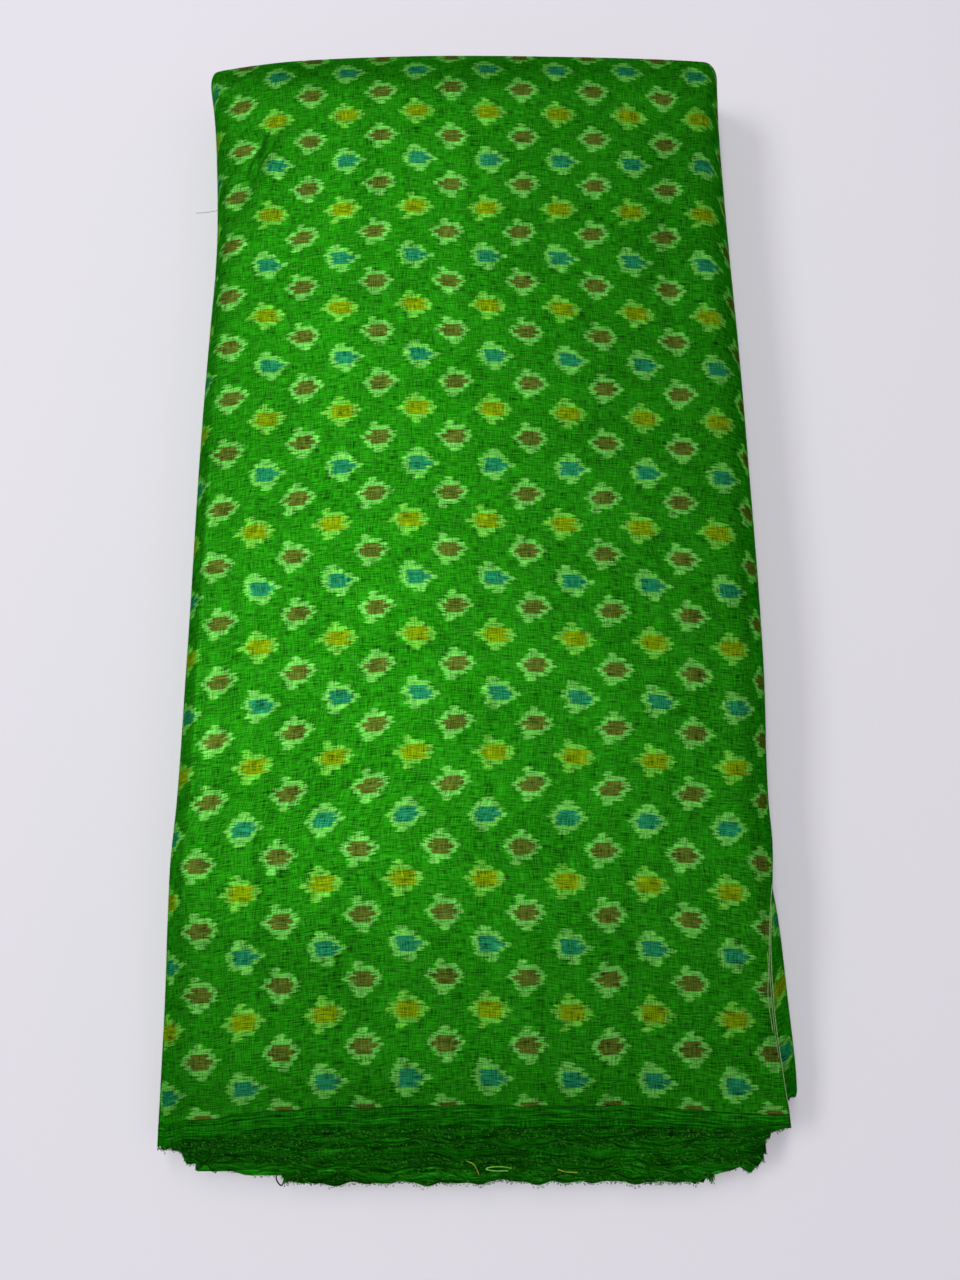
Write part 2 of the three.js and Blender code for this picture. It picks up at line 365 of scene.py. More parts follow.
@dataclass
class WoundStack:
    """Maps places of the cloth to points of the stack, with no two layers crossing.

    A place is a station of the section, a distance y along the bolt, and a layer counted in turns from
    the outside. Each layer's height above or below the middle is its share of the stack's height there.
    """

    crown_drop: float = 0.06
    half_width: float = 137.0
    bow_left: tuple[float, float] = (9.0, 16.5)
    bow_right: tuple[float, float] = (0.3, 9.0)
    bow_power: tuple[float, float] = (3.6, 2.3)
    bow_turning: float = 330.0
    bowed_turns: float = 7.5
    shoulder_taper: float = 0.05
    shoulder_kept: float = 0.2
    lower_shoulder: float = 24.0
    lower_step: float = 1.4
    lower_least: float = 4.0
    tail_lift: float = 1.2
    droop_slack: float = 2.2
    gap_seed: int = 11
    gap_reach: tuple[float, float] = (-165, 175)
    gap_columns: int = 171
    gap_base: float = 0.35
    gap_spread: float = 0.6
    least_gap: float = 0.12
    even_half_turns: int = 3
    even_gap: float = 0.77
    first_open: int = 4
    open_gaps: int = 10
    open_gap: tuple[float, float] = (2.6, 1.6)
    gap_waviness: tuple[float, float] = (1.25, 0.8)
    gap_lengths: tuple[tuple[float, float], tuple[float, float]] = ((15, 48), (30, 90))
    crumpled_to: float = 65.0
    relief_fade: float = 4.0
    ripples: tuple[tuple[float, float, float, float], ...] = ((0.16, 23, 61, 0.0), (0.14, -48, 27, 1.3))
    inner_crease: float = 7.0
    crease_overrun: float = 0.08
    crease_taper: float = 0.25
    creases: tuple[Crease, ...] = (
        Crease((-101, 489), (-113, 461), -2.1, 1.2),
        Crease((-98, 496), (-120, 440), -0.8, 3.6),
        Crease((142, -5), (140, 130), -1.5, 32.0),
        Crease((-112, 470), (-104, 425), 0.8, 9.0),
        Crease((-100, 238), (-95, 44), -0.28, 1.6),
        Crease((104, 500), (101, 300), -0.22, 1.8),
        Crease((118, 470), (124, 380), 0.5, 8.0),
        Crease((-60, 150), (40, 138), 0.35, 22.0),
        Crease((20, 330), (70, 250), -0.4, 26.0),
        Crease((-90, 330), (-40, 390), 0.35, 24.0),
        Crease((-130, 9), (-40, 17), -0.22, 1.8),
        Crease((-120, 15), (-60, 22), 0.25, 2.4),
        Crease((60, 12), (130, 6), -0.2, 1.8),
    )
    gap_tables: list[np.ndarray] = field(init=False)
    gap_x: np.ndarray = field(init=False)

    def __post_init__(self) -> None:
        """Work out how deep each half turn lies at each x: running sums of uneven, wavy gaps.

        One table is for the crumpled selvedge end and one for the rest of the bolt.
        """
        rng = np.random.default_rng(self.gap_seed)
        count = 2 * TURNS
        self.gap_x = np.linspace(*self.gap_reach, self.gap_columns)
        base = self.gap_base + self.gap_spread * rng.random(count)
        base[: self.even_half_turns] = self.even_gap
        may_open = np.arange(self.first_open, count)
        wide = np.isin(np.arange(count), rng.choice(may_open, self.open_gaps, replace=False))
        self.gap_tables = []
        for opened, waviness, lengths in zip(self.open_gap, self.gap_waviness, self.gap_lengths):
            length = rng.uniform(*lengths, (count, 3, 1))
            phase = rng.uniform(0, 2 * np.pi, (count, 3, 1))
            waves = np.sin(2 * np.pi * self.gap_x / length + phase).mean(axis=1)
            uneven = np.maximum(1 + waviness * waves, self.least_gap)
            uneven[: self.even_half_turns] = 1.0
            gaps = (base + wide * opened)[:, None] * uneven
            deep = np.vstack([np.zeros_like(self.gap_x), np.cumsum(gaps, axis=0)])
            self.gap_tables.append(deep / deep[-1])

    def depth_share(self, layer: np.ndarray, x: np.ndarray, y: np.ndarray) -> np.ndarray:
        """Share of the way from the outside to the middle at which a layer lies, between table entries.

        Args:
            layer: turns from the outside, negative on the tail.
            x: place across the bolt.
            y: place along it.

        Returns:
            The share, from 0 outside to 1 at the middle.
        """
        half_turn = np.clip(layer * 2, 0, 2 * TURNS - 1e-6)
        column = np.clip((x - self.gap_x[0]) / (self.gap_x[1] - self.gap_x[0]), 0, len(self.gap_x) - 1.001)
        low, left = half_turn.astype(int), column.astype(int)
        up, across = half_turn - low, column - left
        shares = []
        for table in self.gap_tables:
            upper = lerp(table[low, left], table[low, left + 1], across)
            lower = lerp(table[low + 1, left], table[low + 1, left + 1], across)
            shares.append(lerp(upper, lower, up))
        return lerp(*shares, smooth(y / self.crumpled_to)) + np.minimum(layer, 0) / TURNS

    def turn_place(self, column: str, layer: np.ndarray) -> np.ndarray:
        """One column of the turns' places for layers counted in turns."""
        return TURN_PLACES.read(column, np.clip(layer / TURNS, 0, 1))

    def inset(self, side: str, layer: np.ndarray, y: np.ndarray) -> np.ndarray:
        """How far inside the outline a layer lies on one side, at a place along the stack."""
        near, far = self.turn_place(side, layer), self.turn_place("far_" + side, layer)
        return lerp(near, far, np.clip(y / HALF_CLOTH, 0, 1))

    def shoulder(self, column: str, depth: np.ndarray, y: np.ndarray) -> np.ndarray:
        """How far in a turn begins to round on one side: less for each turn further inside."""
        return OUTLINE.read(column, y) * np.clip(1 - self.shoulder_taper * depth, self.shoulder_kept, 1.0)

    def section(self, s: Stations, y: np.ndarray, sheet: np.ndarray) -> tuple[np.ndarray, np.ndarray]:
        """Point of the section: flat runs joined by rounded sides that are quarter ellipses.

        Args:
            s: stations, as columns against the places along y.
            y: place along the bolt.
            sheet: how far inside the turn's outer face the point lies, in turns.

        Returns:
            x, and the height above the middle of a full-height stack.
        """
        is_tail = s.tail >= 0
        cut = np.radians(OUTLINE.read("cut", y))
        angle = np.where(is_tail, lerp(cut, np.pi / 2, s.tail), s.angle)
        passed = np.where(is_tail, angle / np.pi + 0.5, s.passed)
        layer = s.turn + passed + sheet
        depth = s.turn + sheet
        outer = np.maximum(depth + s.passed, 0)
        lift = np.where(is_tail, self.tail_lift, 0.0)
        left, right = OUTLINE.read("left", y), OUTLINE.read("right", y)
        left_in, right_in = self.inset("left", outer, y), self.inset("right", outer, y)
        upright = np.where(s.side != 0, np.sin(angle) >= 0, s.level > 0)
        lower = np.maximum(self.lower_shoulder - self.lower_step * depth, self.lower_least)
        left_round = np.where(upright, self.shoulder("round_left", depth, y), lower)
        right_depth = np.where(s.side > 0, depth + 1, depth)
        right_round = np.where(upright, self.shoulder("round_right", right_depth, y), lower)
        edge = np.where(s.side < 0, left + left_in, right - right_in)
        shoulder = np.where(s.side < 0, left_round, right_round)
        rounded = edge + s.side * (lift - (shoulder + lift) * (1 - np.cos(angle)))
        flat_left, flat_right = left + left_in + left_round, right - right_in - right_round
        way = np.where(s.level > 0, 1 - s.across, s.across)
        x = np.where(s.side != 0, rounded, lerp(flat_left, flat_right, way))
        radius = HALF_HEIGHT * (1 - self.depth_share(layer, x, y))
        rise = np.where(s.side != 0, radius * np.sin(angle), s.level * radius)
        return x, rise

    def bow(self, x: np.ndarray, y: np.ndarray, s: Stations) -> np.ndarray:
        """How much nearer the selvedge end the cloth lies at x than in the middle: a power of x.

        The bows and their power go from their near values to their far ones along the bolt.
        """
        outward = np.clip(1 - (s.turn + s.passed) / self.bowed_turns, 0, 1)
        far = smooth((y - self.bow_turning) / (FAR_LIMIT - self.bow_turning))
        share = outward * np.abs(x / self.half_width) ** lerp(*self.bow_power, far)
        left, right = lerp(*self.bow_left, far), lerp(*self.bow_right, far)
        return np.where(x < 0, left * share, right * share * (1 - s.lowness))

    def relief(self, x: np.ndarray, y: np.ndarray, least_width: np.ndarray) -> np.ndarray:
        """Height of the soft troughs and ridges: bell curves of the distance from each crease's line.

        Args:
            x: place across the bolt.
            y: place along it.
            least_width: width that no crease goes below, greater for the turns inside.

        Returns:
            The height in millimetres.
        """
        total = sum(size * np.sin(x / wide + y / long + phase) for size, wide, long, phase in self.ripples)
        for crease in self.creases:
            start, end = np.array(crease.start), np.array(crease.end)
            run = end - start
            share = ((x - start[0]) * run[0] + (y - start[1]) * run[1]) / (run @ run)
            off = np.hypot(x - start[0] - share * run[0], y - start[1] - share * run[1])
            after_start = smooth((share + self.crease_overrun) / self.crease_taper)
            before_end = smooth((1 + self.crease_overrun - share) / self.crease_taper)
            bell = np.exp(-((off / np.maximum(crease.width, least_width)) ** 2))
            total = total + crease.depth * after_start * before_end * bell
        return total

    def point(self, s: Stations, y: np.ndarray, sheet: np.ndarray) -> np.ndarray:
        """Points of the cloth in millimetres.

        The stack's height at the place is shared among the layers, and the relief of the top fades
        towards the middle of the stack.

        Args:
            s: stations, as columns.
            y: place along the cloth before it is bowed.
            sheet: how far inside the turn's outer face, in turns.

        Returns:
            The points, one for each station and place, with x, y and z last.
        """
        first_x, _ = self.section(s, y, sheet)
        bowed = y - self.bow(first_x, y, s)
        x, rise = self.section(s, bowed, sheet)
        middle = OUTLINE.read("middle", bowed)
        crown = 1 - self.crown_drop * (x / self.half_width) ** 2
        above = (OUTLINE.read("height", bowed) - middle) * crown
        z = middle + rise / HALF_HEIGHT * np.where(rise > 0, above, middle)
        weight = np.clip(rise / HALF_HEIGHT, 0, 1) ** 2 * np.exp(-np.maximum(s.turn, 0) / self.relief_fade)
        least_width = np.where(s.turn > 0, self.inner_crease, 0.0)
        return np.stack([x, bowed, z + weight * self.relief(x, bowed, least_width)], axis=-1)


@dataclass
class FlatCloth:
    """Grid of one run of the cloth, with its points and its place on the cloth when laid flat."""

    outside: np.ndarray
    inside: np.ndarray
    warp: np.ndarray
    weft: np.ndarray


@dataclass
class ClothRun:
    """A run of the doubled cloth: both sheets of its turns and the fold that joins them.

    The upper sheet goes from its selvedge to the doubled end, and the lower one comes back. Each face
    is the stack's own surface at its layer, and the run is closed along its rims.
    """

    name: str
    stack: WoundStack
    stations: Stations
    upper_y: np.ndarray
    upper_far: np.ndarray
    lower_y: np.ndarray
    lower_far: np.ndarray
    edge_seed: int
    edge_waves: tuple[tuple[float, float], ...] = ((173, 0.9), (61, 0.8), (27, 0.7), (14, 0.5))
    edge_step: float = 1.9
    edge_fade: float = 18.0
    outer_wander: float = 0.35
    turn_length: float = 620.0
    top_length: float = 200.0
    round_length: float = 30.0
    set_back: float = 15.0
    sheet_near: float = 0.25
    sheet_far: float = 0.13
    thinned_by: float = 120.0
    fold_steps: int = 5
    fold_bulge: float = 0.7
    pattern_step: float = 700.0
    wander_start: float = 11.0
    wander_rise: float = 20.0
    wander_fall: float = 60.0

    def edge_noise(self, seed: int) -> np.ndarray:
        """Uneven line of a selvedge: a few sine waves along the winding, with another phase on each turn."""
        rng = np.random.default_rng(seed)
        s = self.stations
        turns = s.turn + s.passed
        crossed = np.where(s.level != 0, s.across, 0)
        along = turns * self.turn_length + crossed * self.top_length + s.angle * self.round_length
        waves = np.zeros_like(along)
        for length, size in self.edge_waves:
            waves += size * np.sin(2 * np.pi * along / length + rng.uniform(0, 2 * np.pi))
        steps = np.clip(rng.normal(0, self.edge_step, 2 * TURNS + 6), -self.edge_step, self.edge_step)
        step = np.interp(2 * turns + 2, np.arange(len(steps)), steps)
        inner = np.clip(turns, 0, 1)
        return waves * lerp(self.outer_wander, 1.0, inner) + inner * step

    def sheet_y(self, near_side: np.ndarray, far_side: np.ndarray, seed: int) -> np.ndarray:
        """Places along one sheet: steps from its selvedge, then steps back from the doubled end.

        Args:
            near_side: distances from the selvedge.
            far_side: distances from the doubled end, rising.
            seed: seed of the selvedge's unevenness.

        Returns:
            The places, a row for each station.
        """
        s = self.stations
        layer = np.maximum(s.turn + s.passed, 0)
        near = -self.stack.turn_place("reach", layer)
        drooped = self.stack.droop_slack * (1 - s.lowness) * (1 - layer / TURNS)
        far = near + HALF_CLOTH - drooped - self.fold_bulge
        beyond_cut = (s.side > 0) & (s.turn == 0) & (s.tail < 0)
        wander = self.edge_noise(seed) + np.where(beyond_cut, self.set_back * np.sin(np.pi * s.passed), 0.0)
        front = near[:, None] + near_side + wander[:, None] * np.exp(-near_side / self.edge_fade)
        back = far[:, None] - far_side[::-1]
        return np.hstack([front, back])

    @cached_property
    def cloth(self) -> FlatCloth:
        """Both faces of the run and the cloth's own coordinates on them, a row for each station."""
        columns = Stations(**{name: values[:, None] for name, values in vars(self.stations).items()})
        upper = self.sheet_y(self.upper_y, self.upper_far, self.edge_seed)
        lower = self.sheet_y(self.lower_y, self.lower_far, self.edge_seed + 1)[:, ::-1]
        turn_by = (np.arange(1, self.fold_steps) / self.fold_steps) * np.pi
        fold = np.repeat(upper[:, -1:], len(turn_by), axis=1)
        y = np.hstack([upper, fold, lower])
        phase = np.hstack([np.zeros(upper.shape[1]), turn_by, np.full(lower.shape[1], np.pi)])
        thick = lerp(self.sheet_near, self.sheet_far, smooth(y / self.thinned_by))
        centre = (0.5 + thick) / 2
        outer = centre - centre * np.cos(phase)
        inner = centre - (0.5 - thick) / 2 * np.cos(phase)
        outside = self.stack.point(columns, y, outer)
        inside = self.stack.point(columns, y, inner)
        outside[..., 1] += self.fold_bulge * np.sin(phase)
        inside[..., 1] += 0.5 * self.fold_bulge * np.sin(phase)
        warp, weft = self.coordinates(outside, upper.shape[1] + self.fold_steps // 2 - 1)
        return FlatCloth(outside, inside, warp, weft)

    def coordinates(self, points: np.ndarray, fold: int) -> tuple[np.ndarray, np.ndarray]:
        """Lengths along the cloth and across it, added up over the surface.

        Along the cloth they count from the middle of the top, rightwards, and across it from the
        selvedge, so that the pattern neither stretches nor slides where the cloth bends. The drift of
        the dyed rows and the wander of the threads are then added, the same on both halves of the cloth.

        Args:
            points: the outer face.
            fold: number of its column at the doubled end.

        Returns:
            The two lengths in millimetres at each point.
        """
        run = np.linalg.norm(np.diff(points, axis=0), axis=-1)
        total = np.vstack([np.zeros(points.shape[1]), np.cumsum(run, axis=0)])
        s = self.stations
        first_top = np.nonzero((s.level > 0) & (s.turn == s.turn[s.level > 0][0]))[0]
        middle = first_top[np.argmin(np.abs(points[first_top, 0, 0]))]
        warp = total[middle] - total + points[middle, :, 0]
        warp -= s.turn[middle] * self.pattern_step
        span = np.linalg.norm(np.diff(points, axis=1), axis=-1)
        weft = np.hstack([np.zeros((points.shape[0], 1)), np.cumsum(span, axis=1)])
        upper, lower = weft[:, : fold + 1], weft[:, fold + 1 :] - weft[:, fold : fold + 1]
        lower = HALF_CLOTH * (1 + lower / lower[:, -1:])
        weft = np.hstack([upper * HALF_CLOTH / upper[:, -1:], lower])
        inward = np.minimum(weft, CLOTH_WIDTH - weft)
        risen = smooth((inward - self.wander_start) / self.wander_rise)
        held = risen * smooth((HALF_CLOTH - inward) / self.wander_fall)
        across = ROW_DRIFT.read("across", inward) + held * THREAD_WANDER.read("across", warp)
        across = across + self.row_bend(warp, inward)
        half = np.where(weft < HALF_CLOTH, 1.0, -1.0)
        return warp + ROW_DRIFT.read("along", inward), weft + half * across

    def row_bend(self, warp: np.ndarray, inward: np.ndarray) -> np.ndarray:
        """How far the rows bend across the cloth: each place's column, blended evenly between places.

        Args:
            warp: lengths along the cloth.
            inward: distances from the nearer selvedge.

        Returns:
            The bend in millimetres.
        """
        places = np.stack([ROW_BEND.read(place, inward) for place in BEND_PLACES])
        at = np.interp(warp, BEND_PLACES, np.arange(len(BEND_PLACES)))
        low = np.minimum(at.astype(int), len(BEND_PLACES) - 2)
        before, after = (np.take_along_axis(places, index[None], axis=0)[0] for index in (low, low + 1))
        return lerp(before, after, at - low)

    def build(self) -> bpy.types.Object:
        """Make the run's mesh, closed along both cut ends and both selvedges."""
        cloth = self.cloth
        rows, columns = cloth.warp.shape
        points = in_metres(np.concatenate([cloth.outside.reshape(-1, 3), cloth.inside.reshape(-1, 3)]))
        index = np.arange(rows * columns).reshape(rows, columns)
        under = index + rows * columns
        front = quads(index[:-1, :-1], index[:-1, 1:], index[1:, 1:], index[1:, :-1])
        back = quads(under[:-1, :-1], under[1:, :-1], under[1:, 1:], under[:-1, 1:])
        rims = [
            quads(index[:-1, 0], index[1:, 0], under[1:, 0], under[:-1, 0]),
            quads(index[:-1, -1], under[:-1, -1], under[1:, -1], index[1:, -1]),
            quads(index[0, :-1], under[0, :-1], under[0, 1:], index[0, 1:]),
            quads(index[-1, :-1], index[-1, 1:], under[-1, 1:], under[-1, :-1]),
        ]
        place = np.tile(np.stack([cloth.warp.ravel(), cloth.weft.ravel()], axis=1), (2, 1))
        return mesh_object(self.name, points, np.vstack([front, back, *rims]), place)


def in_metres(points: np.ndarray) -> np.ndarray:
    """Points of the bolt's own frame in metres, set by the left side and the doubled end of the solid."""
    low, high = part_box(NODE)
    return points * MM + np.array([low[0] - LEFT_LIMIT * MM, high[1] - FAR_LIMIT * MM, 0.0])


def quads(a: np.ndarray, b: np.ndarray, c: np.ndarray, d: np.ndarray) -> np.ndarray:
    """Rows of four corner numbers from four arrays of them."""
    return np.stack([a.ravel(), b.ravel(), c.ravel(), d.ravel()], axis=1)


def mesh_object(name: str, points: np.ndarray, faces: np.ndarray, place: np.ndarray) -> bpy.types.Object:
    """Make a smooth-shaded mesh object of four-sided faces, with a UV map of places on the cloth.

    Args:
        name: the object's name.
        points: its points in metres.
        faces: four corner numbers a face.
        place: the UV of each point.

    Returns:
        The object, linked to the scene.
    """
    mesh = bpy.data.meshes.new(name)
    mesh.vertices.add(len(points))
    mesh.vertices.foreach_set("co", points.astype(np.float32).ravel())
    mesh.loops.add(faces.size)
    mesh.loops.foreach_set("vertex_index", faces.astype(np.int32).ravel())
    mesh.polygons.add(len(faces))
    mesh.polygons.foreach_set("loop_start", np.arange(0, faces.size, faces.shape[1], dtype=np.int32))
    mesh.update(calc_edges=True)
    mesh.polygons.foreach_set("use_smooth", np.ones(len(faces), dtype=bool))
    layer = mesh.uv_layers.new(name=UV_NAME)
    layer.uv.foreach_set("vector", place[faces.ravel()].astype(np.float32).ravel())
    mesh.validate()
    LOG.info("%s: %d faces", name, len(faces))
    return linked(name, mesh)


def linked(
    name: str, data: bpy.types.ID, place: tuple | np.ndarray = (0, 0, 0), turned: tuple = (0, 0, 0)
) -> bpy.types.Object:
    """A new object in the scene, at a place in metres and turned by angles in radians."""
    made = bpy.data.objects.new(name, data)
    made.location, made.rotation_euler = place, turned
    bpy.context.scene.collection.objects.link(made)
    return made


class Graph:
    """Adds nodes to one tree, joining each input that is given as a socket and setting the others."""

    def __init__(self, tree: bpy.types.NodeTree) -> None:
        """Work on one node tree."""
        self.tree = tree

    def node(self, kind: str, *inputs: object, **settings: object) -> bpy.types.Node:
        """Add a node.

        Args:
            kind: the node's type.
            inputs: values or sockets for its inputs, in order; None leaves one alone.
            settings: the node's own properties.

        Returns:
            The node.
        """
        made = self.tree.nodes.new(kind)
        for name, value in settings.items():
            setattr(made, name, value)
        for socket, value in zip(made.inputs, inputs):
            self.put(socket, value)
        return made

    def put(self, socket: Socket, value: object) -> None:
        """Join an input to a socket, or set it to a value."""
        if isinstance(value, Socket):
            self.tree.links.new(value, socket)
        elif value is not None:
            socket.default_value = value

    def feed(self, node: bpy.types.Node, inputs: dict[str, object]) -> bpy.types.Node:
        """Join or set some of a node's inputs by their names."""
        for name, value in inputs.items():
            self.put(node.inputs[name], value)
        return node

    def placed(self, group: bpy.types.NodeTree, inputs: dict[str, object]) -> bpy.types.bpy_prop_collection:
        """Outputs of a shared group that is placed here with inputs of its own."""
        return self.feed(self.node("ShaderNodeGroup", node_tree=group), inputs).outputs

    def math(self, operation: str, *inputs: object, held: bool = False) -> Socket:
        """Result of a Math node."""
        return self.node("ShaderNodeMath", *inputs, operation=operation, use_clamp=held).outputs[0]

    def join(self, *parts: object) -> Socket:
        """A vector of up to three parts."""
        return self.node("ShaderNodeCombineXYZ", *parts).outputs[0]

    def chance(self, *parts: object) -> Socket:
        """A random number from -1 to 1 that belongs to the vector of the parts."""
        noise = self.node("ShaderNodeTexWhiteNoise", self.join(*parts), noise_dimensions="3D").outputs[0]
        return self.math("MULTIPLY_ADD", noise, 2.0, -1.0)

    def cloud(self, vector: Socket, scale: float, detail: float) -> Socket:
        """Smooth noise from 0 to 1."""
        made = self.node("ShaderNodeTexNoise")
        return self.feed(made, {"Vector": vector, "Scale": scale, "Detail": detail}).outputs[0]

    def mix(self, share: object, first: object, second: object) -> Socket:
        """Colour between two others."""
        made = self.node("ShaderNodeMix", data_type="RGBA")
        for number, value in ((0, share), (6, first), (7, second)):
            self.put(made.inputs[number], value)
        return made.outputs[2]


def shared_group(
    name: str, inputs: tuple[str, ...], outputs: tuple[str, ...], fill: Callable[[Graph, dict], tuple]
) -> bpy.types.NodeTree:
    """Shader node group of plain values, built the first time that it is asked for.

    Args:
        name: the group's name.
        inputs: names of its inputs.
        outputs: names of its outputs.
        fill: adds the nodes, given the graph and the input sockets by name, and gives the outputs' values.

    Returns:
        The group.
    """
    if name in bpy.data.node_groups:
        return bpy.data.node_groups[name]
    tree = bpy.data.node_groups.new(name, "ShaderNodeTree")
    for direction, labels in (("INPUT", inputs), ("OUTPUT", outputs)):
        for label in labels:
            tree.interface.new_socket(name=label, in_out=direction, socket_type="NodeSocketFloat")
    entry = tree.nodes.new("NodeGroupInput").outputs
    leave = tree.nodes.new("NodeGroupOutput")
    graph = Graph(tree)
    values = fill(graph, {label: entry[label] for label in inputs})
    graph.feed(leave, dict(zip(outputs, values)))
    return tree


def new_material(name: str) -> tuple[bpy.types.Material, Graph, bpy.types.Node]:
    """A new material, the graph of its nodes and its shader."""
    made = bpy.data.materials.new(name)
    made.use_nodes = True
    return made, Graph(made.node_tree), made.node_tree.nodes["Principled BSDF"]


@dataclass(frozen=True)
class MotifChart:
    """One tied motif, charted bundle by bundle from its far side: half widths and slips in millimetres."""

    name: str
    surround: tuple[float, ...]
    centre: tuple[float, ...]
    slip: tuple[float, ...]
    loose: tuple[float, ...]
    seed: float
    centre_soft: float = 0.6
    bundle: float = 2.25
    soft: float = 0.9
    thread: float = 0.5
    thread_slip: float = 0.75
    bleed: float = 0.5
    point: float = 0.9
    least: float = 0.3
    span: float = 12.0

    def group(self) -> bpy.types.NodeTree:
        """Node group that draws the motif on a lattice."""
        names = ("Warp", "Weft", "Column start", "Column pitch", "Row start", "Row pitch")
        return shared_group(f"Tied motif {self.name}", names, ("Surround", "Centre"), self.masks)

    def masks(self, graph: Graph, entry: dict) -> tuple[Socket, ...]:
        """Masks of the pale surround and of the dyed centre.

        The nearest lattice place gives the offsets along and across the threads. The offset across
        picks the bundle, whose half width is set against the offset along and is longest in the middle
        of the bundle. Each bundle of a row slips by chance, each thread slips a little more, and the dye
        bleeds unevenly past its end.

        Args:
            graph: the group's graph.
            entry: its inputs.

        Returns:
            The two masks.
        """
        column, along = self.lattice_line(graph, entry["Warp"], entry["Column start"], entry["Column pitch"])
        row, across = self.lattice_line(graph, entry["Weft"], entry["Row start"], entry["Row pitch"])
        count = len(self.surround)
        share = graph.math("MULTIPLY_ADD", across, -1 / (count * self.bundle), 0.5)
        inside = graph.math("COMPARE", share, 0.5, 0.5)
        counted = graph.math("MULTIPLY", share, float(count))
        number = graph.math("FLOOR", counted)
        off_middle = graph.math("ABSOLUTE", graph.math("SUBTRACT", graph.math("FRACT", counted), 0.5))
        pointed = graph.math("MULTIPLY_ADD", off_middle, -2 * self.point, self.point / 2)
        ramp = graph.node("ShaderNodeValToRGB", share)
        self.chart(ramp.color_ramp)
        parts = graph.node("ShaderNodeSeparateColor", ramp.outputs[0]).outputs
        thread = graph.math("FLOOR", graph.math("DIVIDE", entry["Weft"], self.thread))
        fray = graph.math("MULTIPLY", graph.chance(thread, self.seed, 3.0), self.thread_slip)
        own = graph.chance(thread, column, row)
        loose = graph.math("MULTIPLY", ramp.outputs[1], self.span)
        slip = graph.math("MULTIPLY", graph.chance(number, row, self.seed), loose)
        charted = graph.math("MULTIPLY_ADD", parts[2], self.span, -self.span / 2)
        moved = graph.math("ADD", graph.math("ADD", charted, slip), fray)
        away = graph.math("ABSOLUTE", graph.math("SUBTRACT", along, moved))
        made = []
        for part, bleed, soft in zip(parts[:2], (self.bleed, -self.bleed), (self.soft, self.centre_soft)):
            half = graph.math("MULTIPLY", part, self.span)
            grown = graph.math("MULTIPLY_ADD", own, bleed, graph.math("ADD", half, pointed))
            past = graph.math("DIVIDE", graph.math("SUBTRACT", grown, away), soft)
            edge = graph.math("ADD", past, 0.5, held=True)
            there = graph.math("MULTIPLY", inside, graph.math("GREATER_THAN", half, self.least))
            made.append(graph.math("MULTIPLY", edge, there))
        return tuple(made)

    def lattice_line(
        self, graph: Graph, at: Socket, start: Socket, pitch: Socket
    ) -> tuple[Socket, Socket]:
        """Number of the lattice line nearest to a place, and the place's distance from it."""
        past_start = graph.math("SUBTRACT", at, start)
        line = graph.math("ROUND", graph.math("DIVIDE", past_start, pitch))
        return line, graph.math("SUBTRACT", past_start, graph.math("MULTIPLY", line, pitch))

    def chart(self, ramp: bpy.types.ColorRamp) -> None:
        """Write the half widths, slips and looseness into a stepped ramp, one stop for each bundle."""
        ramp.interpolation = "CONSTANT"
        while len(ramp.elements) < len(self.surround):
            ramp.elements.new(1.0)
        stops = zip(self.surround, self.centre, self.slip, self.loose)
        for number, (surround, centre, slip, loose) in enumerate(stops):
            ramp.elements[number].position = number / len(self.surround)
            widths = (surround / self.span, centre / self.span)
            ramp.elements[number].color = (*widths, slip / self.span + 0.5, loose / self.span)


LOOSE_BUNDLES = (1.5, 0.8, 0.5, 0.5, 0.5, 0.8, 1.8)
BROWN = MotifChart(
    "brown",
    (1.8, 4.6, 7.2, 8.6, 6.8, 4.6, 2.2),
    (0.0, 0.0, 3.9, 5.9, 4.0, 0.0, 0.0),
    (-1.8, 0.3, 0.1, -0.2, -0.1, -0.2, -1.2),
    LOOSE_BUNDLES,
    seed=11.0,
)
TEAL = MotifChart(
    "teal",
    (2.4, 5.2, 7.0, 8.8, 6.6, 5.0, 2.2),
    (0.0, 0.0, 4.2, 5.6, 4.2, 0.0, 0.0),
    (-1.2, -1.0, -0.3, 0.8, 0.0, -0.6, -0.4),
    LOOSE_BUNDLES,
    seed=23.0,
    centre_soft=1.0,
)
YELLOW = MotifChart(
    "yellow",
    (1.7, 4.5, 7.4, 9.4, 7.2, 4.4, 2.0),
    (0.0, 0.0, 5.1, 5.6, 5.0, 0.0, 0.0),
    (-2.8, -0.8, -0.3, -1.0, -0.2, -0.7, -2.6),
    LOOSE_BUNDLES,
    seed=37.0,
    centre_soft=2.4,
)


@dataclass(frozen=True)
class IkatLayout:
    """Where the rows and columns of motifs lie on the cloth."""

    column_pitch: float = 36.9
    column_start: float = 10.9
    brown_slip: float = -0.9
    row_step: float = 14.0
    first_row: float = 11.0

    def lattice(self, chart: MotifChart) -> dict[str, float]:
        """Inputs of one motif's group that place its lattice.

        The brown motifs lie between the columns of the others, on every second row. The rows between
        them are teal and yellow in turn.
        """
        start, rows_on, rows_apart = self.column_start, 3, 4
        if chart is BROWN:
            start += self.column_pitch / 2 + self.brown_slip
            rows_on, rows_apart = 0, 2
        elif chart is TEAL:
            rows_on = 1
        return {
            "Column start": start,
            "Column pitch": self.column_pitch,
            "Row start": self.first_row + rows_on * self.row_step,
            "Row pitch": rows_apart * self.row_step,
        }


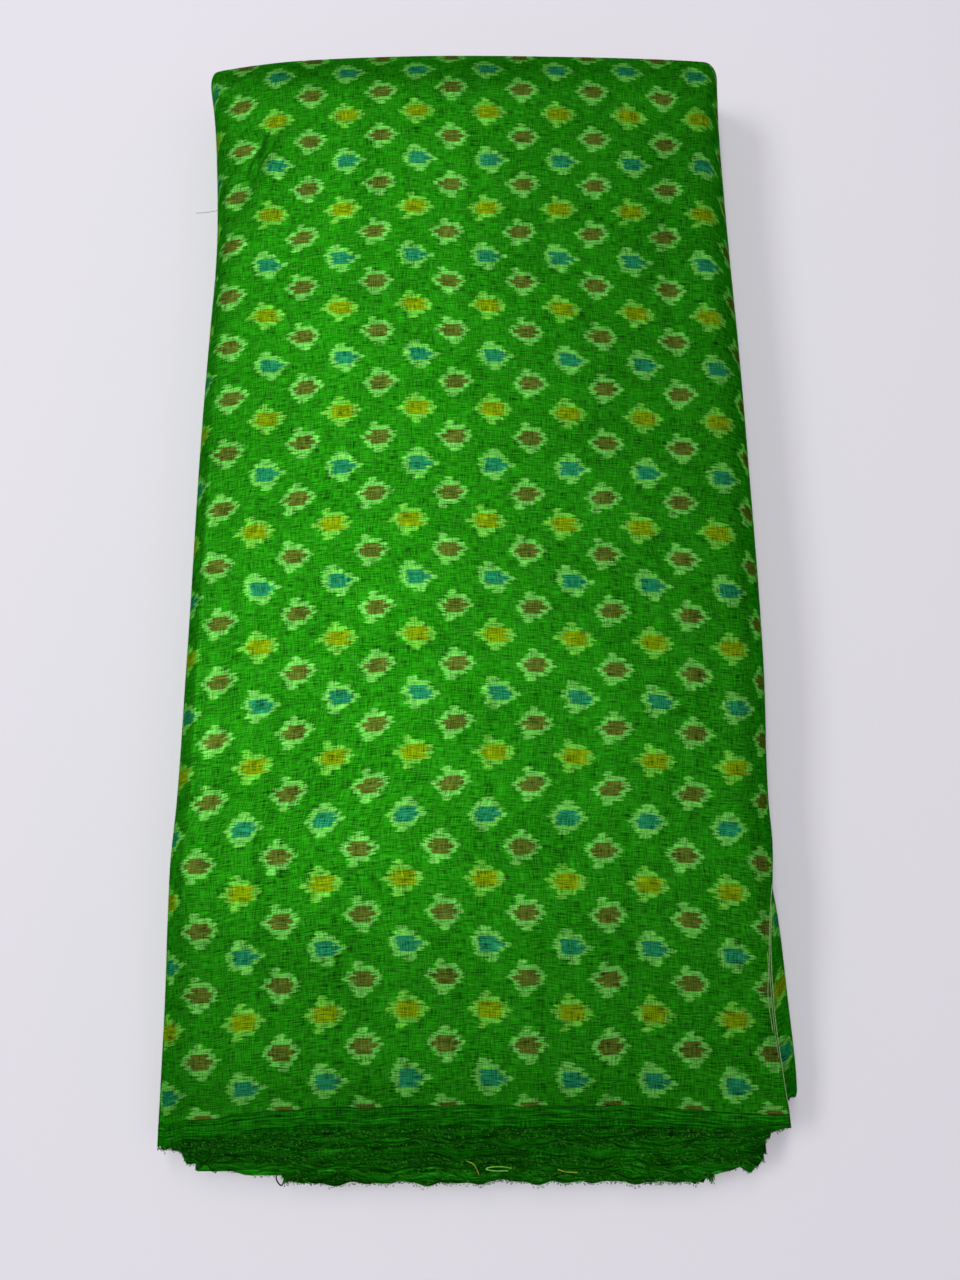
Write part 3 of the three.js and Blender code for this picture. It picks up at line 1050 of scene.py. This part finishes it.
@dataclass(frozen=True)
class Streaks:
    """Smooth noise of a size in millimetres along and across the cloth."""

    size: tuple[float, float]
    shift: float
    strength: float = 1.0
    detail: float = 1.0

    def noise(self, graph: Graph, entry: dict) -> Socket:
        """The noise, from 0 to 1, at the place that a group's inputs give."""
        along, across = (
            graph.math("DIVIDE", entry[name], length) for name, length in zip(("Warp", "Weft"), self.size)
        )
        return graph.cloud(graph.join(along, across, self.shift), 1.0, self.detail)


@dataclass(frozen=True)
class Weave:
    """Handloom weave: streaks along each thread system, slubs and a fine relief.

    The first two streaks are the warp and the weft, which make the relief. A slub is a thick dark thread
    where its noise goes over a limit.
    """

    streaks: tuple[Streaks, ...] = (
        Streaks((6.0, 0.45), 0.0, 3.3, 2.0),
        Streaks((0.5, 6.0), 4.0, 2.3, 2.0),
        Streaks((40.0, 28.0), 9.0, 0.5),
        Streaks((4.0, 300.0), 17.0, 0.45),
        Streaks((200.0, 2.6), 23.0, 0.4),
    )
    slubs: tuple[tuple[Streaks, float], ...] = (
        (Streaks((0.55, 16.0), 14.0, -0.55), 0.735),
        (Streaks((9.0, 0.5), 31.0, -0.45), 0.76),
    )
    slub_edge: float = 18.0
    weft_height: float = 0.8

    def group(self) -> bpy.types.NodeTree:
        """Node group that puts out a tone about 1, and a height."""
        return shared_group("Slubby weave", ("Warp", "Weft"), ("Tone", "Height"), self.parts)

    def parts(self, graph: Graph, entry: dict) -> tuple[Socket, ...]:
        """Tone and height of the weave."""
        noises = [streaks.noise(graph, entry) for streaks in self.streaks]
        tone: object = 1.0
        for noise, streaks in zip(noises, self.streaks):
            tone = graph.math("MULTIPLY_ADD", graph.math("SUBTRACT", noise, 0.5), streaks.strength, tone)
        for streaks, limit in self.slubs:
            over = graph.math("SUBTRACT", streaks.noise(graph, entry), limit)
            slub = graph.math("MULTIPLY", over, self.slub_edge, held=True)
            tone = graph.math("MULTIPLY", tone, graph.math("MULTIPLY_ADD", slub, streaks.strength, 1.0))
        height = graph.math("ADD", noises[0], graph.math("MULTIPLY", noises[1], self.weft_height))
        return tone, height


@dataclass(frozen=True)
class Selvedge:
    """Selvedge band: its streaks and its line, the painted light and painted shade of each turn's edge, and
    its stitches.
    """

    width: float = 12.2
    line_reach: float = 0.35
    line_tone: float = -0.5
    turn_streaks: Streaks = Streaks((130.0, 500.0), 53.0, detail=2.0)
    band_streaks: Streaks = Streaks((16.0, 0.9), 61.0, detail=2.0)
    # Painted shade: from this far in from each turn's edge, the colour darkens over the next run, standing
    # in for the shade where the next turn covers it.
    crevice_start: float = 1.5
    crevice_run: float = 1.1
    stitch_width: float = 1.2
    stitch_pitch: float = 0.85
    stitch_slant: float = 0.35
    stitch_edge: float = 1.6
    patches: Streaks = Streaks((13.0, 60.0), 41.0, detail=2.0)
    patch_limit: float = 0.4
    patch_edge: float = 8.0

    def group(self) -> bpy.types.NodeTree:
        """Node group that puts out a tone, with painted light and painted shade in it, and a mask of the
        stitches.
        """
        names = ("Warp", "Weft", "Shade", "Turn contrast", "Crevice", "Band contrast")
        return shared_group("Selvedge", names, ("Tone", "Stitches"), self.parts)

    def parts(self, graph: Graph, entry: dict) -> tuple[Socket, ...]:
        """Tone of the band and of each turn, with painted light and painted shade, and the stitches.

        Inside the winding the colour darkens inwards from just inside its edge, a painted shade where the
        next turn covers it.
        The bright weft stitches lie over the last of the selvedge, slanted and some of them missing.

        Args:
            graph: the group's graph.
            entry: its inputs.

        Returns:
            The tone and the stitches' mask.
        """
        weft = entry["Weft"]
        line = graph.math("COMPARE", weft, self.width, self.line_reach)
        # Painted light: the shade input scales the whole tone, and above 1 it brightens the cloth as if more
        # brightly lit.
        tone = graph.math("MULTIPLY", entry["Shade"], graph.math("MULTIPLY_ADD", line, self.line_tone, 1.0))
        # Painted shade: darker inwards from near the edge, where the next turn covers the cloth.
        past_edge = graph.math("SUBTRACT", weft, self.crevice_start)
        crevice_shade_share = graph.math("DIVIDE", past_edge, self.crevice_run, held=True)
        dark = graph.math("MULTIPLY", crevice_shade_share, entry["Crevice"])
        tone = graph.math("MULTIPLY", tone, graph.math("SUBTRACT", 1.0, dark))
        in_band = graph.math("MULTIPLY", graph.math("LESS_THAN", weft, self.width), entry["Band contrast"])
        for streaks, contrast in ((self.turn_streaks, entry["Turn contrast"]), (self.band_streaks, in_band)):
            streak = graph.math("SUBTRACT", streaks.noise(graph, entry), 0.5)
            tone = graph.math("MULTIPLY", tone, graph.math("MULTIPLY_ADD", streak, contrast, 1.0))
        slanted = graph.math("MULTIPLY_ADD", weft, self.stitch_slant, entry["Warp"])
        turn = graph.math("MULTIPLY", slanted, 2 * np.pi / self.stitch_pitch)
        ticks = graph.math("MULTIPLY", graph.math("SINE", turn), self.stitch_edge, held=True)
        over = graph.math("SUBTRACT", self.patches.noise(graph, entry), self.patch_limit)
        shown = graph.math("MULTIPLY", over, self.patch_edge, held=True)
        at_edge = graph.math("LESS_THAN", weft, self.stitch_width)
        return tone, graph.math("MULTIPLY", graph.math("MULTIPLY", ticks, shown), at_edge)


@dataclass(frozen=True)
class SilkFinish:
    """Ikat silk: dyes, sheen, how its threads and its selvedge vary it, and the painted light and painted
    shade of its turns.
    """

    name: str = "Ikat silk"
    ground: tuple = srgb(31, 127, 14)
    pale: tuple = srgb(102, 190, 76)
    pale_by_yellow: tuple = srgb(102, 189, 58)
    brown: tuple = srgb(80, 96, 28)
    teal: tuple = srgb(26, 124, 80)
    yellow: tuple = srgb(112, 142, 4)
    band: tuple = srgb(22, 112, 12)
    stitch: tuple = srgb(118, 226, 74)
    metallic: float = 0.5
    roughness: float = 0.39
    polish: float = 0.06
    specular: float = 0.0
    edge_tint: tuple = (0.16, 0.22, 0.02, 1.0)
    relief: float = 0.5
    relief_height: float = 0.22
    # Painted light and painted shade: shade is a gain on the whole tone, and the crevices' painted shade
    # darkens the cloth inwards of each turn's edge.
    shade: float = 1.0
    turn_contrast: float = 0.0
    crevice: float = 0.0
    band_contrast: float = 3.4
    tone_range: tuple[float, float] = (0.16, 2.1)
    cover: tuple[float, float] = (1.2, -0.36)
    centre_cover: float = 0.97
    layout: IkatLayout = IkatLayout()
    weave: Weave = Weave()
    selvedge: Selvedge = Selvedge()

    def material(self) -> bpy.types.Material:
        """Make the cloth's material, patterned by its own UV map in millimetres of cloth.

        Both halves of the cloth have the same rows, so lengths across it count from the nearer selvedge.
        """
        made, graph, shader = new_material(self.name)
        flat = graph.node("ShaderNodeUVMap", uv_map=UV_NAME).outputs[0]
        along, across = graph.node("ShaderNodeSeparateXYZ", flat).outputs[:2]
        from_fold = graph.math("ABSOLUTE", graph.math("SUBTRACT", across, HALF_CLOTH))
        place = {"Warp": along, "Weft": graph.math("SUBTRACT", HALF_CLOTH, from_fold)}
        weave = graph.placed(self.weave.group(), place)
        # The selvedge group paints light and shade from these values: a gain on the tone and the painted
        # shade in the crevices.
        edge_look = {
            "Shade": self.shade,
            "Turn contrast": self.turn_contrast,
            "Crevice": self.crevice,
            "Band contrast": self.band_contrast,
        }
        edge = graph.placed(self.selvedge.group(), place | edge_look)
        cover = graph.math("MULTIPLY_ADD", weave["Height"], self.cover[1], self.cover[0], held=True)
        colour: object = self.ground
        for chart, dye, surround in (
            (BROWN, self.brown, self.pale),
            (TEAL, self.teal, self.pale),
            (YELLOW, self.yellow, self.pale_by_yellow),
        ):
            masks = graph.placed(chart.group(), place | self.layout.lattice(chart))
            colour = graph.mix(graph.math("MULTIPLY", masks["Surround"], cover), colour, surround)
            colour = graph.mix(graph.math("MULTIPLY", masks["Centre"], self.centre_cover), colour, dye)
        colour = graph.mix(graph.math("LESS_THAN", place["Weft"], self.selvedge.width), colour, self.band)
        colour = graph.mix(edge["Stitches"], colour, self.stitch)
        # The edge tone carries the painted light and painted shade into the base colour.
        held = graph.math("MINIMUM", weave["Tone"], self.tone_range[1])
        tone = graph.math("MULTIPLY", graph.math("MAXIMUM", held, self.tone_range[0]), edge["Tone"])
        toned = graph.node("ShaderNodeVectorMath", colour, operation="SCALE")
        bump = graph.node("ShaderNodeBump")
        heights = {"Strength": self.relief, "Distance": self.relief_height * MM, "Height": weave["Height"]}
        look = {
            "Base Color": graph.feed(toned, {"Scale": tone}).outputs[0],
            "Roughness": graph.math("MULTIPLY_ADD", tone, -self.polish, self.roughness + self.polish),
            "Normal": graph.feed(bump, heights).outputs[0],
            "Metallic": self.metallic,
            "Specular IOR Level": self.specular,
            "Specular Tint": self.edge_tint,
        }
        graph.feed(shader, look)
        return made


@dataclass(frozen=True)
class ThreadFinish:
    """A loose silk thread of one dye."""

    dye: ThreadDye
    patch_scale: float = 900.0
    darkest: float = 0.12
    roughness: float = 0.5
    metallic: float = 0.4
    specular: float = 0.0

    def material(self) -> bpy.types.Material:
        """Make the thread's material: its dye, lighter and darker along it."""
        made, graph, shader = new_material(f"Thread {self.dye.name.lower()}")
        place = graph.node("ShaderNodeTexCoord").outputs["Object"]
        own = graph.node("ShaderNodeUVMap", uv_map=UV_NAME).outputs[0]
        thread_tone = graph.node("ShaderNodeSeparateXYZ", own).outputs[0]
        tone = graph.math("MULTIPLY", graph.cloud(place, self.patch_scale, 2.0), thread_tone)
        dark = tuple(self.darkest * part for part in self.dye.value[:3]) + (1.0,)
        look = {
            "Base Color": graph.mix(tone, dark, self.dye.value),
            "Roughness": self.roughness,
            "Metallic": self.metallic,
            "Specular IOR Level": self.specular,
        }
        graph.feed(shader, look)
        return made


@dataclass
class SelvedgeLoops:
    """Small weft loops that stand out of the selvedges, as one joined mesh of thin tubes."""

    pitch: float = 1.15
    pitch_spread: float = 0.45
    half_width: float = 0.38
    width_range: tuple[float, float] = (0.6, 1.3)
    shortest: float = 0.4
    longest: float = 2.0
    length_power: float = 2.2
    tilt: tuple[float, float] = (0.0, 0.4)
    lean: tuple[float, float] = (0.2, 0.45)
    brightest: float = 1.8
    tone_power: float = 1.5
    look_ahead: float = 0.5
    radius: float = 0.17
    arc_points: int = 4
    sides: int = 3
    seed: int = 5

    def build(self, name: str, edges: list[np.ndarray]) -> bpy.types.Object:
        """Make the loops: half ellipses on the edge lines, each with its own length, tilt and tone.

        Args:
            name: the object's name.
            edges: lines of points along the selvedges, in millimetres.

        Returns:
            The new object.
        """
        rng = np.random.default_rng(self.seed)
        bases, tangents = zip(*(self.walk(edge, rng) for edge in edges))
        base, tangent = np.vstack(bases), np.vstack(tangents)
        count = len(base)
        length = lerp(self.shortest, self.longest, rng.random(count) ** self.length_power)
        tilt = rng.normal(*self.tilt, count)
        lean = rng.normal(*self.lean, count)
        out = unit(np.stack([lean, -np.ones(count), tilt], axis=1))
        turn = np.linspace(0, np.pi, self.arc_points)
        width = self.half_width * rng.uniform(*self.width_range, count)
        beside = np.cos(turn)[:, None] * (width[:, None] * tangent)[:, None]
        outward = np.sin(turn)[:, None] * (length[:, None] * out)[:, None]
        tone = self.brightest * rng.random(count) ** self.tone_power
        return tube_object(name, base[:, None] + beside + outward, self.radius, self.sides, tone)

    def walk(self, edge: np.ndarray, rng: np.random.Generator) -> tuple[np.ndarray, np.ndarray]:
        """Places along one edge at uneven steps, and the edge's direction there."""
        span = np.linalg.norm(np.diff(edge, axis=0), axis=1)
        total = np.concatenate([[0], np.cumsum(span)])
        at = np.arange(self.pitch, total[-1] - self.pitch, self.pitch)
        at = at + rng.uniform(-self.pitch_spread, self.pitch_spread, len(at)) * self.pitch
        base = between(at, total, edge)
        return base, unit(between(at + self.look_ahead, total, edge) - base)


def unit(vectors: np.ndarray) -> np.ndarray:
    """Vectors brought to a length of 1 along the last axis."""
    return vectors / np.maximum(np.linalg.norm(vectors, axis=-1, keepdims=True), TINY)


def between(at: np.ndarray, key: np.ndarray, points: np.ndarray) -> np.ndarray:
    """Points of a line at places along it, given its points at rising places."""
    return np.stack([np.interp(at, key, points[:, axis]) for axis in range(3)], axis=1)


def tube_object(
    name: str, path: np.ndarray, radius: float, sides: int, tone: np.ndarray
) -> bpy.types.Object:
    """Make many tubes along paths of equal point count, as one mesh closed at every end.

    A ring of sides stands round each point, square to the path, and each end is drawn to a point.

    Args:
        name: the object's name.
        path: tubes by points by three, in millimetres.
        radius: the tubes' radius in millimetres.
        sides: sides of a ring.
        tone: how bright each tube's dye is, kept in its UV map.

    Returns:
        The new object.
    """
    count, steps = path.shape[:2]
    run = unit(np.gradient(path, axis=1))
    first = unit(np.cross(run, NEAR_UPRIGHT))
    second = np.cross(run, first)
    turn = np.arange(sides) / sides * 2 * np.pi
    size = np.full(steps, radius)
    size[[0, -1]] = radius * TIP_SHARE
    ring = first[:, :, None] * np.cos(turn)[:, None] + second[:, :, None] * np.sin(turn)[:, None]
    points = path[:, :, None] + ring * size[:, None, None]
    index = np.arange(count * steps * sides).reshape(count, steps, sides)
    beside = np.roll(index, -1, axis=2)
    walls = quads(index[:, :-1], beside[:, :-1], beside[:, 1:], index[:, 1:])
    place = np.repeat(tone, steps * sides)[:, None] * np.array([1.0, 0.0])
    return mesh_object(name, in_metres(points.reshape(-1, 3)), walls, place)


@dataclass(frozen=True)
class LooseThread:
    """A thread that lies on or hangs out of the bolt, through points given one by one."""

    name: str
    dye: ThreadDye
    radius: float
    points: tuple[tuple[float, float, float], ...]

    def path(self, steps: int = 40) -> np.ndarray:
        """Smooth line through the points: a cubic with mean slopes on the way along them."""
        given = np.array(self.points)
        key = np.concatenate([[0], np.cumsum(np.linalg.norm(np.diff(given, axis=0), axis=1))])
        table = Table(("way", "x", "y", "z"), tuple(map(tuple, np.column_stack([key, given]))))
        way = np.linspace(0, key[-1], steps)
        return np.stack([table.read(axis, way) for axis in ("x", "y", "z")], axis=1)[None]


@dataclass(frozen=True)
class CutEndThread:
    """A weft thread that has come loose along the cut end of the top sheet, a little inside it."""

    inset: float
    first: int
    last: int
    phase: float
    tone: float
    wander: float = 0.35
    waves: float = 9.0
    lift: tuple[float, float, float] = (0.12, 0.0, 0.16)

    def path(self, outside: np.ndarray, steps: int = 44) -> np.ndarray:
        """Line of the thread, which wanders by a sine of the way along it.

        Args:
            outside: outer face of the run, whose first two rows are at the cut end.
            steps: number of points of the line.

        Returns:
            The points in millimetres.
        """
        edge, inner = outside[0, self.first : self.last], outside[1, self.first : self.last]
        way = np.linspace(0, 1, len(edge))
        inset = self.inset + self.wander * np.sin(self.waves * way + self.phase)
        return between(np.linspace(0, 1, steps), way, edge + unit(inner - edge) * inset[:, None] + self.lift)


CUT_END_THREADS = (
    CutEndThread(0.2, 3, 34, 0.4, 1.7),
    CutEndThread(1.1, 10, 37, 2.2, 1.4),
    CutEndThread(2.3, 14, 27, 4.0, 1.5),
)
LOOSE_THREADS = (
    LooseThread(
        "loop_left",
        ThreadDye.DARK,
        0.3,
        ((-87, -23, 6), (-88.5, -27, 5), (-86, -30, 5), (-84, -25, 6)),
    ),
    LooseThread(
        "rust_thread",
        ThreadDye.RUST,
        0.3,
        ((-113, 1, 22.5), (-113.6, -4, 22), (-114.6, -8, 20.5)),
    ),
    LooseThread(
        "twisted_thread",
        ThreadDye.LIGHT,
        0.26,
        (
            (20.5, -17.6, 21),
            (16, -16.8, 21.3),
            (11, -17.0, 21.2),
            (8.6, -17.8, 21),
            (12, -18.5, 21.2),
            (19, -18.6, 21),
        ),
    ),
    LooseThread(
        "bent_thread",
        ThreadDye.YELLOW,
        0.22,
        ((0, -14.6, 21), (3, -15.6, 21.4), (5, -19, 20.6), (5.6, -21, 19)),
    ),
    LooseThread(
        "yellow_thread",
        ThreadDye.YELLOW,
        0.25,
        ((41, -18.5, 19.6), (45, -19.4, 19.8), (50, -19.6, 19.8)),
    ),
    LooseThread(
        "stray_thread_left",
        ThreadDye.GREEN,
        0.12,
        ((-133, 454, 33), (-139, 452, 34), (-144, 451, 35)),
    ),
)


@dataclass
class Bolt:
    """The whole bolt: the outer turn, the inner turns, the selvedge loops and the loose threads."""

    stack: WoundStack = field(default_factory=WoundStack)
    outer_finish: SilkFinish = SilkFinish()
    # The inner turns get a copy of the silk with painted light brightening it and painted shade in the
    # crevices between turns.
    inner_shaded_finish: SilkFinish = SilkFinish(
        name="Ikat silk inside, painted light and shade", shade=3.2, turn_contrast=3.0, crevice=0.8, band_contrast=2.8
    )
    inner_spans: tuple[tuple[int, int], ...] = ((1, 5), (6, 10), (11, 14), (15, 16))
    hidden_end: float = 0.1
    hidden_gap: float = 0.01
    loops_down_to: float = -0.6
    least_edge: int = 4
    length_column: int = 20
    thread_sides: int = 6
    thread_tone: float = 1.6
    cut_end_radius: float = 0.24
    cut_end_sides: int = 5

    def outer_turn(self) -> ClothRun:
        """The turn that shows, on a fine grid, ending hidden under its own beginning."""
        steps = WindingSteps(top=74, round_side=22, bottom=32, creased=(0.86, 0.96, 26))
        hidden = np.linspace(0, self.hidden_end, 10)
        start = Stations.stretch(len(hidden), 1, level=1.0, across=hidden)
        fine_far = np.concatenate([np.arange(0, 60, 2.0), np.arange(60, 240, 3.0)])
        coarse = np.array([0, 2, 5, 9, 14, 22, 34, 50, 75, 100, 125, 150, 180, 210, 250, 290.0])
        return ClothRun(
            "outer_turn",
            self.stack,
            Stations.joined([steps.tail_stretch(), *steps.turn_stretches(0), start]),
            upper_y=np.arange(0, 300, 3.0),
            upper_far=fine_far,
            lower_y=coarse,
            lower_far=coarse[:-1] * 0.8,
            edge_seed=21,
        )

    def inner_turns(self, first: int, last: int) -> ClothRun:
        """Turns inside the outer one, fine only towards their selvedges and folds."""
        steps = WindingSteps(top=78, round_side=10, bottom=16)
        start = self.hidden_end + self.hidden_gap if first == 1 else 0.0
        stretches = steps.turn_stretches(first, start)
        for turn in range(first + 1, last + 1):
            stretches += steps.turn_stretches(turn, closes=turn < TURNS - 1)
        near = np.array([0, 1.5, 4, 7, 10, 13, 16.5, 20.5, 26, 34, 43, 55, 90, 125, 160, 200, 250.0])
        far = np.array([0, 3, 7, 12, 18, 25, 33, 42, 52, 62, 74, 90, 110, 150, 200.0])
        return ClothRun(
            f"inner_turns_{first}_to_{last}",
            self.stack,
            Stations.joined(stretches),
            upper_y=near,
            upper_far=far,
            lower_y=near,
            lower_far=far,
            edge_seed=40 + first,
        )

    def dress(self, piece: bpy.types.Object, material: bpy.types.Material) -> None:
        """Give a piece its material and its body, and hide the solid that it stands for."""
        piece.data.materials.append(material)
        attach(piece, BODY)
        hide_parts(NODE)

    def build(self) -> None:
        """Make every piece of the bolt, and log each run's flat length."""
        outer_silk, inner_shaded_silk = self.outer_finish.material(), self.inner_shaded_finish.material()
        dyed = {dye: ThreadFinish(dye).material() for dye in ThreadDye}
        runs = [self.outer_turn(), *(self.inner_turns(first, last) for first, last in self.inner_spans)]
        for number, run in enumerate(runs):
            piece = run.build()
            self.dress(piece, inner_shaded_silk if number else outer_silk)
            loops = SelvedgeLoops().build(f"{run.name}_loops", self.edges(run))
            self.dress(loops, dyed[ThreadDye.GREEN])
            trims = [loops]
            if number == 0:
                trims += [*self.threads(dyed), self.cut_end_threads(run, dyed[ThreadDye.PALE])]
            length = self.length(run)
            LOG.info("%s: flat length %.3f m", piece.name, length)

    def threads(self, dyed: dict[ThreadDye, bpy.types.Material]) -> list[bpy.types.Object]:
        """Make the loose threads, each in its own dye."""
        made = []
        tone = np.array([self.thread_tone])
        for thread in LOOSE_THREADS:
            piece = tube_object(thread.name, thread.path(), thread.radius, self.thread_sides, tone)
            self.dress(piece, dyed[thread.dye])
            made.append(piece)
        return made

    def cut_end_threads(self, run: ClothRun, material: bpy.types.Material) -> bpy.types.Object:
        """Make the pale weft threads that have come loose along the cut end of the top sheet."""
        paths = np.stack([thread.path(run.cloth.outside) for thread in CUT_END_THREADS])
        tone = np.array([thread.tone for thread in CUT_END_THREADS])
        made = tube_object("cut_end_threads", paths, self.cut_end_radius, self.cut_end_sides, tone)
        self.dress(made, material)
        return made

    def length(self, run: ClothRun) -> float:
        """Length of a run along the cloth in metres, on a line of its grid inside the selvedge."""
        line = run.cloth.warp[:, self.length_column]
        return float(line[0] - line[-1]) * MM

    def edges(self, run: ClothRun) -> list[np.ndarray]:
        """Selvedge lines of a run where they can be seen: over the top and round the sides."""
        s = run.stations
        high = (s.side == 0) | (np.sin(s.angle) > self.loops_down_to) | (s.tail >= 0)
        shown = (s.level >= 0) & high
        parts = np.split(np.arange(len(shown)), np.nonzero(np.diff(shown.astype(int)))[0] + 1)
        kept = [part for part in parts if shown[part[0]] and len(part) >= self.least_edge]
        middle = (run.cloth.outside + run.cloth.inside) / 2
        return [middle[part, column] for part in kept for column in (0, -1)]


@dataclass(frozen=True)
class Lamp:
    """An area light: its place in metres, its turn about y in degrees, its size in metres and its power."""

    name: str
    place: tuple[float, float, float]
    turned: float
    size: tuple[float, float]
    power: float

    def build(self) -> None:
        """Add the light to the scene."""
        data = bpy.data.lights.new(self.name, "AREA")
        data.shape, data.energy = "RECTANGLE", self.power
        data.size, data.size_y = self.size
        linked(self.name, data, self.place, (0, np.radians(self.turned), 0))


@dataclass(frozen=True)
class Studio:
    """Plain pale floor, whose reach is in metres, soft light and the camera."""

    camera: tuple[float, float, float] = (6.0, 133.0, 490.0)
    tilt: float = np.radians(11)
    lens: float = 27.03
    sensor: float = 36.0
    lamps: tuple[Lamp, ...] = (
        Lamp("overhead", (-0.33, 0.55, 1.9), -8, (0.4, 3.0), 21),
        Lamp("side", (-3.0, 0.5, 3.2), -45, (1.0, 2.0), 50),
        Lamp("fill", (1.3, -0.5, 2.2), 28, (1.5, 2.0), 5),
    )
    sky: tuple = srgb(238, 234, 244)
    sky_strength: float = 0.22
    floor_reach: float = 4.0
    floor_colour: tuple = srgb(248, 245, 252)
    floor_roughness: float = 0.7

    def build(self) -> None:
        """Set the floor, the lights and the camera."""
        self.floor()
        for lamp in self.lamps:
            lamp.build()
        scene = bpy.context.scene
        scene.world = bpy.data.worlds.new("Studio")
        scene.world.use_nodes = True
        background = scene.world.node_tree.nodes["Background"]
        background.inputs["Color"].default_value = self.sky
        background.inputs["Strength"].default_value = self.sky_strength
        scene.view_settings.view_transform = "Standard"
        data = bpy.data.cameras.new("Camera")
        data.lens, data.sensor_width = self.lens, self.sensor
        scene.camera = linked("Camera", data, in_metres(np.array(self.camera)), (self.tilt, 0, 0))

    def floor(self) -> None:
        """Make the floor, which isn't part of the object."""
        corners = np.array([[-1, -1, 0], [1, -1, 0], [1, 1, 0], [-1, 1, 0]])
        floor = mesh_object("floor", corners * self.floor_reach, np.array([[0, 1, 2, 3]]), np.zeros((4, 2)))
        made, graph, shader = new_material("Pale floor")
        graph.feed(shader, {"Base Color": self.floor_colour, "Roughness": self.floor_roughness})
        floor.data.materials.append(made)


def main() -> None:
    """Build the bolt and its studio; the bolt logs its runs' lengths."""
    logging.basicConfig(level=logging.INFO, format="%(name)s: %(message)s")
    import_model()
    Bolt().build()
    Studio().build()


if __name__ == "__main__":
    main()
